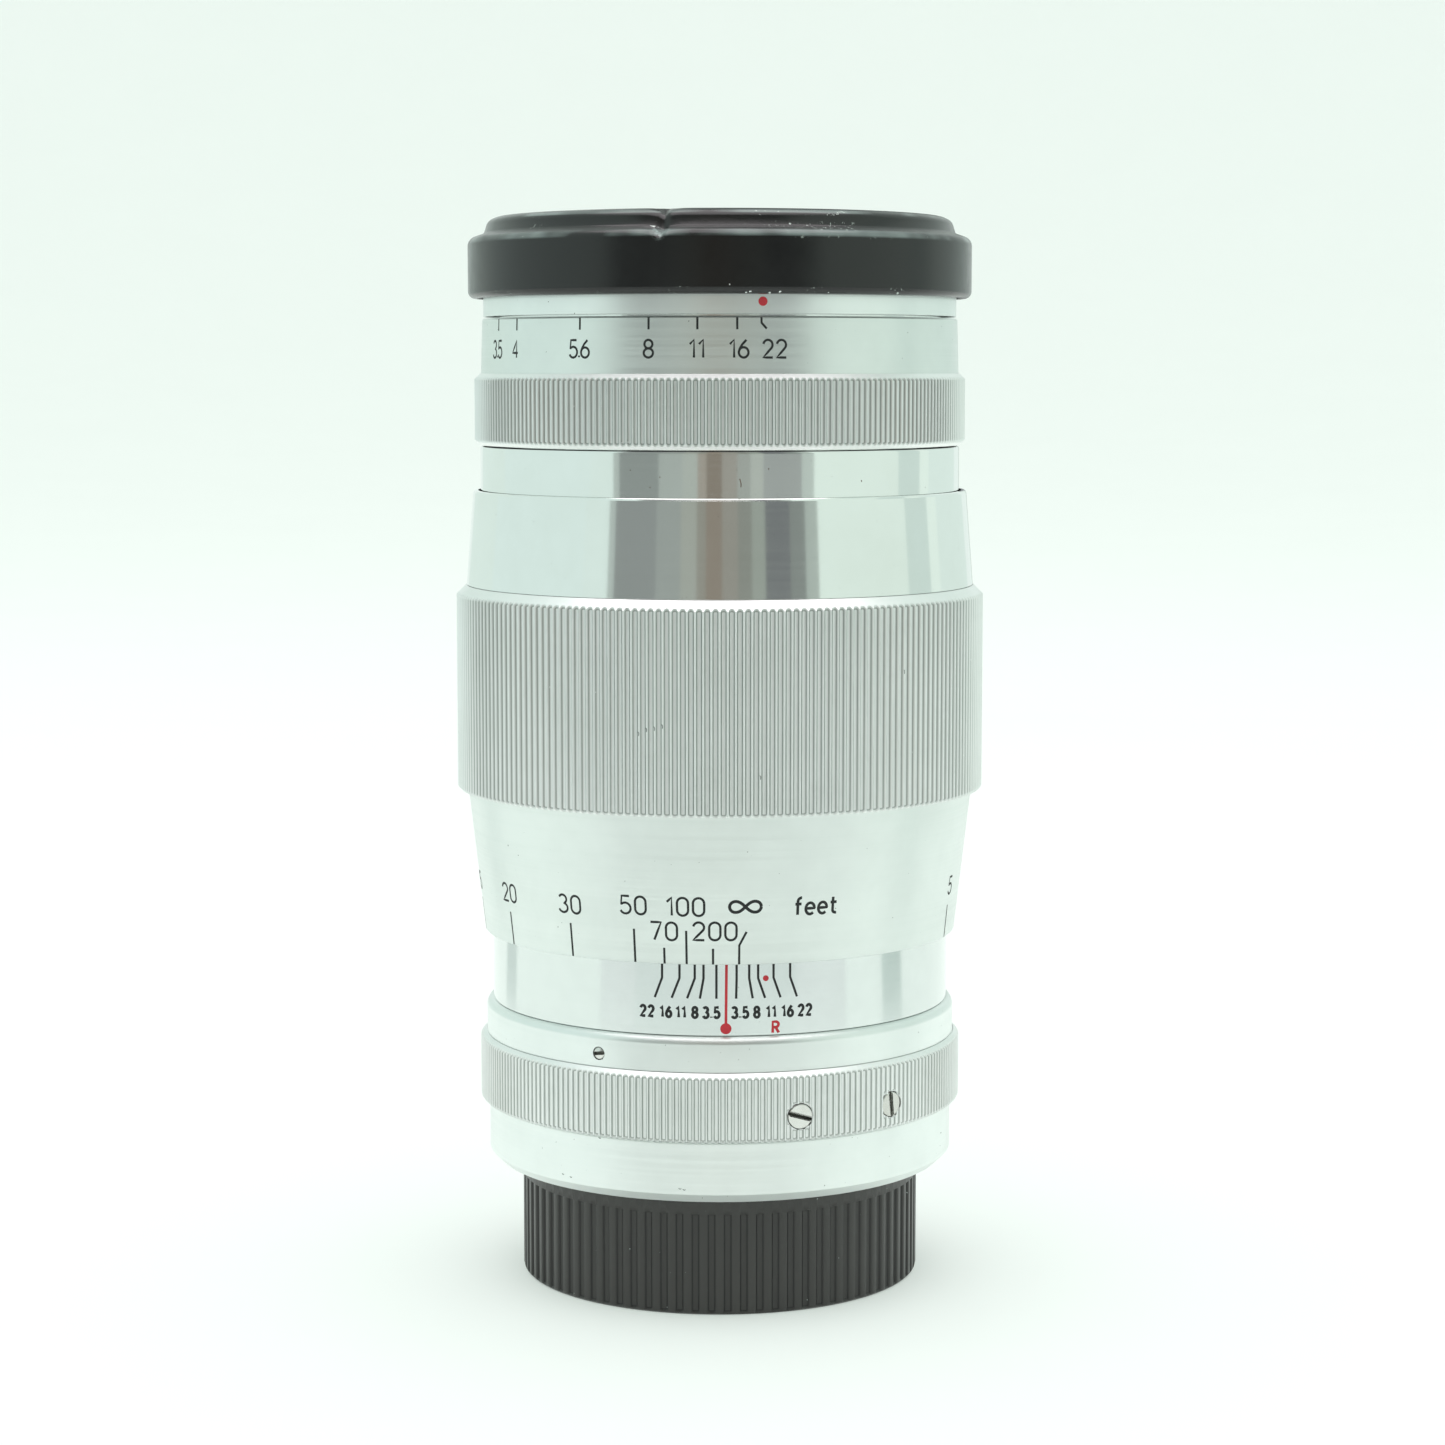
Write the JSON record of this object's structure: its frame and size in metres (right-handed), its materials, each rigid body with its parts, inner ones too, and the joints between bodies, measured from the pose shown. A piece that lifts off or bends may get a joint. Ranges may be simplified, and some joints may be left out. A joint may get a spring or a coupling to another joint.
{
  "type": "camera lens",
  "caption": "Screw-mount telephoto lens standing on its ribbed rear cap, with a knurled focus ring, an aperture ring, a leaf iris, a rangefinder cam and a slip-on front cap.",
  "frame": {"origin": "centre of the underside of the rear cap, where the lens stands on a table", "axes": "+Z along the optical axis towards the front, -Y towards the index line and the scales, +X to the right of the index seen from the front of the scales"},
  "size_m": [0.06, 0.06, 0.1206],
  "materials": {
    "black_moulded": "moulded, slightly worn",
    "polished_aluminium": "turned and polished",
    "knurled_aluminium": "bright anodised, straight knurl",
    "satin_aluminium": "satin anodised, engraved",
    "nickel_steel": "nickel plated",
    "turned_brass": "turned",
    "black_anodised": "matt black anodised",
    "coated_glass": "polished, single coated",
    "blued_steel": "blackened spring steel",
    "black_enamel": "black enamel, chipped at the edges",
    "black_felt": "pressed felt"
  },
  "bodies": {
    "barrel": {"lens_mount": "polished_aluminium", "mount_collar": "knurled_aluminium", "clamp_ring": "polished_aluminium", "depth_scale_barrel": "polished_aluminium", "guide_key_1": "nickel_steel", "guide_key_2": "nickel_steel", "focus_stop_block": "turned_brass", "collar_screw_1": "nickel_steel", "collar_screw_2": "nickel_steel", "collar_screw_3": "nickel_steel", "key_screw_1": "nickel_steel", "key_screw_2": "nickel_steel", "clamp_screw_1": "nickel_steel", "clamp_screw_2": "nickel_steel", "clamp_screw_3": "nickel_steel"},
    "focus": {"focus_ring": "knurled_aluminium", "front_sleeve": "polished_aluminium", "focus_nut": "black_anodised", "nut_retaining_ring": "turned_brass", "focus_stop_screw": "nickel_steel"},
    "lens_head": {"lens_barrel": "black_anodised", "head_barrel": "polished_aluminium", "front_ring": "polished_aluminium", "name_ring": "black_anodised", "front_cell": "black_anodised", "iris_housing": "black_anodised", "rear_cell": "black_anodised", "light_baffle": "black_anodised", "third_element": "coated_glass", "second_element": "coated_glass", "element_spacer": "black_anodised", "front_element": "coated_glass", "front_retaining_ring": "black_anodised", "rear_element": "coated_glass", "rear_retaining_ring": "black_anodised"},
    "aperture": {"aperture_ring": "satin_aluminium", "iris_drive_ring": "turned_brass", "iris_drive_screw": "nickel_steel"},
    "cam": {"rangefinder_cam_tube": "turned_brass"},
    "front_cap": {"front_cap": "black_enamel", "cap_lining": "black_felt"},
    "rear_cap": {"rear_cap": "black_moulded"},
    "blade_1": {"iris_blade_1": "blued_steel"},
    "blade_2": {"iris_blade_2": "blued_steel"},
    "blade_3": {"iris_blade_3": "blued_steel"},
    "blade_4": {"iris_blade_4": "blued_steel"},
    "blade_5": {"iris_blade_5": "blued_steel"},
    "blade_6": {"iris_blade_6": "blued_steel"},
    "blade_7": {"iris_blade_7": "blued_steel"},
    "blade_8": {"iris_blade_8": "blued_steel"},
    "blade_9": {"iris_blade_9": "blued_steel"},
    "blade_10": {"iris_blade_10": "blued_steel"}
  },
  "joints": [
    {"name": "focus_turn", "type": "hinge", "parent": "barrel", "child": "focus", "pos_m": [0, 0, 0.06], "axis": [0, 0, 1], "range_deg": [0, 295]},
    {"name": "head_slide", "type": "slide", "parent": "barrel", "child": "lens_head", "axis": [0, 0, 1], "range_m": [0, 0.0147]},
    {"name": "cam_slide", "type": "slide", "parent": "barrel", "child": "cam", "axis": [0, 0, 1], "range_m": [0, 0.00187]},
    {"name": "aperture_turn", "type": "hinge", "parent": "lens_head", "child": "aperture", "pos_m": [0, 0, 0.0968], "axis": [0, 0, 1], "range_deg": [0, 74.4]},
    {"name": "front_cap_pull", "type": "slide", "parent": "lens_head", "child": "front_cap", "axis": [0, 0, 1], "range_m": [0, 0.03]},
    {"name": "rear_cap_off", "type": "slide", "parent": "barrel", "child": "rear_cap", "axis": [0, 0, -1], "range_m": [0, 0.03]},
    {"name": "blade_1_swing", "type": "hinge", "parent": "lens_head", "child": "blade_1", "pos_m": [0.0185, 0, 0.0914], "axis": [0, 0, 1], "range_deg": [0, 41.8]},
    {"name": "blade_2_swing", "type": "hinge", "parent": "lens_head", "child": "blade_2", "pos_m": [0.01497, 0.01087, 0.0914], "axis": [0, 0, 1], "range_deg": [0, 41.8]},
    {"name": "blade_3_swing", "type": "hinge", "parent": "lens_head", "child": "blade_3", "pos_m": [0.00572, 0.01759, 0.0914], "axis": [0, 0, 1], "range_deg": [0, 41.8]},
    {"name": "blade_4_swing", "type": "hinge", "parent": "lens_head", "child": "blade_4", "pos_m": [-0.00572, 0.01759, 0.0914], "axis": [0, 0, 1], "range_deg": [0, 41.8]},
    {"name": "blade_5_swing", "type": "hinge", "parent": "lens_head", "child": "blade_5", "pos_m": [-0.01497, 0.01087, 0.0914], "axis": [0, 0, 1], "range_deg": [0, 41.8]},
    {"name": "blade_6_swing", "type": "hinge", "parent": "lens_head", "child": "blade_6", "pos_m": [-0.0185, 0, 0.0914], "axis": [0, 0, 1], "range_deg": [0, 41.8]},
    {"name": "blade_7_swing", "type": "hinge", "parent": "lens_head", "child": "blade_7", "pos_m": [-0.01497, -0.01087, 0.0914], "axis": [0, 0, 1], "range_deg": [0, 41.8]},
    {"name": "blade_8_swing", "type": "hinge", "parent": "lens_head", "child": "blade_8", "pos_m": [-0.00572, -0.01759, 0.0914], "axis": [0, 0, 1], "range_deg": [0, 41.8]},
    {"name": "blade_9_swing", "type": "hinge", "parent": "lens_head", "child": "blade_9", "pos_m": [0.00572, -0.01759, 0.0914], "axis": [0, 0, 1], "range_deg": [0, 41.8]},
    {"name": "blade_10_swing", "type": "hinge", "parent": "lens_head", "child": "blade_10", "pos_m": [0.01497, -0.01087, 0.0914], "axis": [0, 0, 1], "range_deg": [0, 41.8]}
  ],
  "couplings": [
    {"joint": "head_slide", "follows": "focus_turn", "m_per_rad": 0.002855},
    {"joint": "cam_slide", "follows": "focus_turn", "m_per_rad": 0.000363},
    {"joint": "blade_1_swing", "follows": "aperture_turn", "ratio": 0.5618},
    {"joint": "blade_2_swing", "follows": "aperture_turn", "ratio": 0.5618},
    {"joint": "blade_3_swing", "follows": "aperture_turn", "ratio": 0.5618},
    {"joint": "blade_4_swing", "follows": "aperture_turn", "ratio": 0.5618},
    {"joint": "blade_5_swing", "follows": "aperture_turn", "ratio": 0.5618},
    {"joint": "blade_6_swing", "follows": "aperture_turn", "ratio": 0.5618},
    {"joint": "blade_7_swing", "follows": "aperture_turn", "ratio": 0.5618},
    {"joint": "blade_8_swing", "follows": "aperture_turn", "ratio": 0.5618},
    {"joint": "blade_9_swing", "follows": "aperture_turn", "ratio": 0.5618},
    {"joint": "blade_10_swing", "follows": "aperture_turn", "ratio": 0.5618}
  ]
}
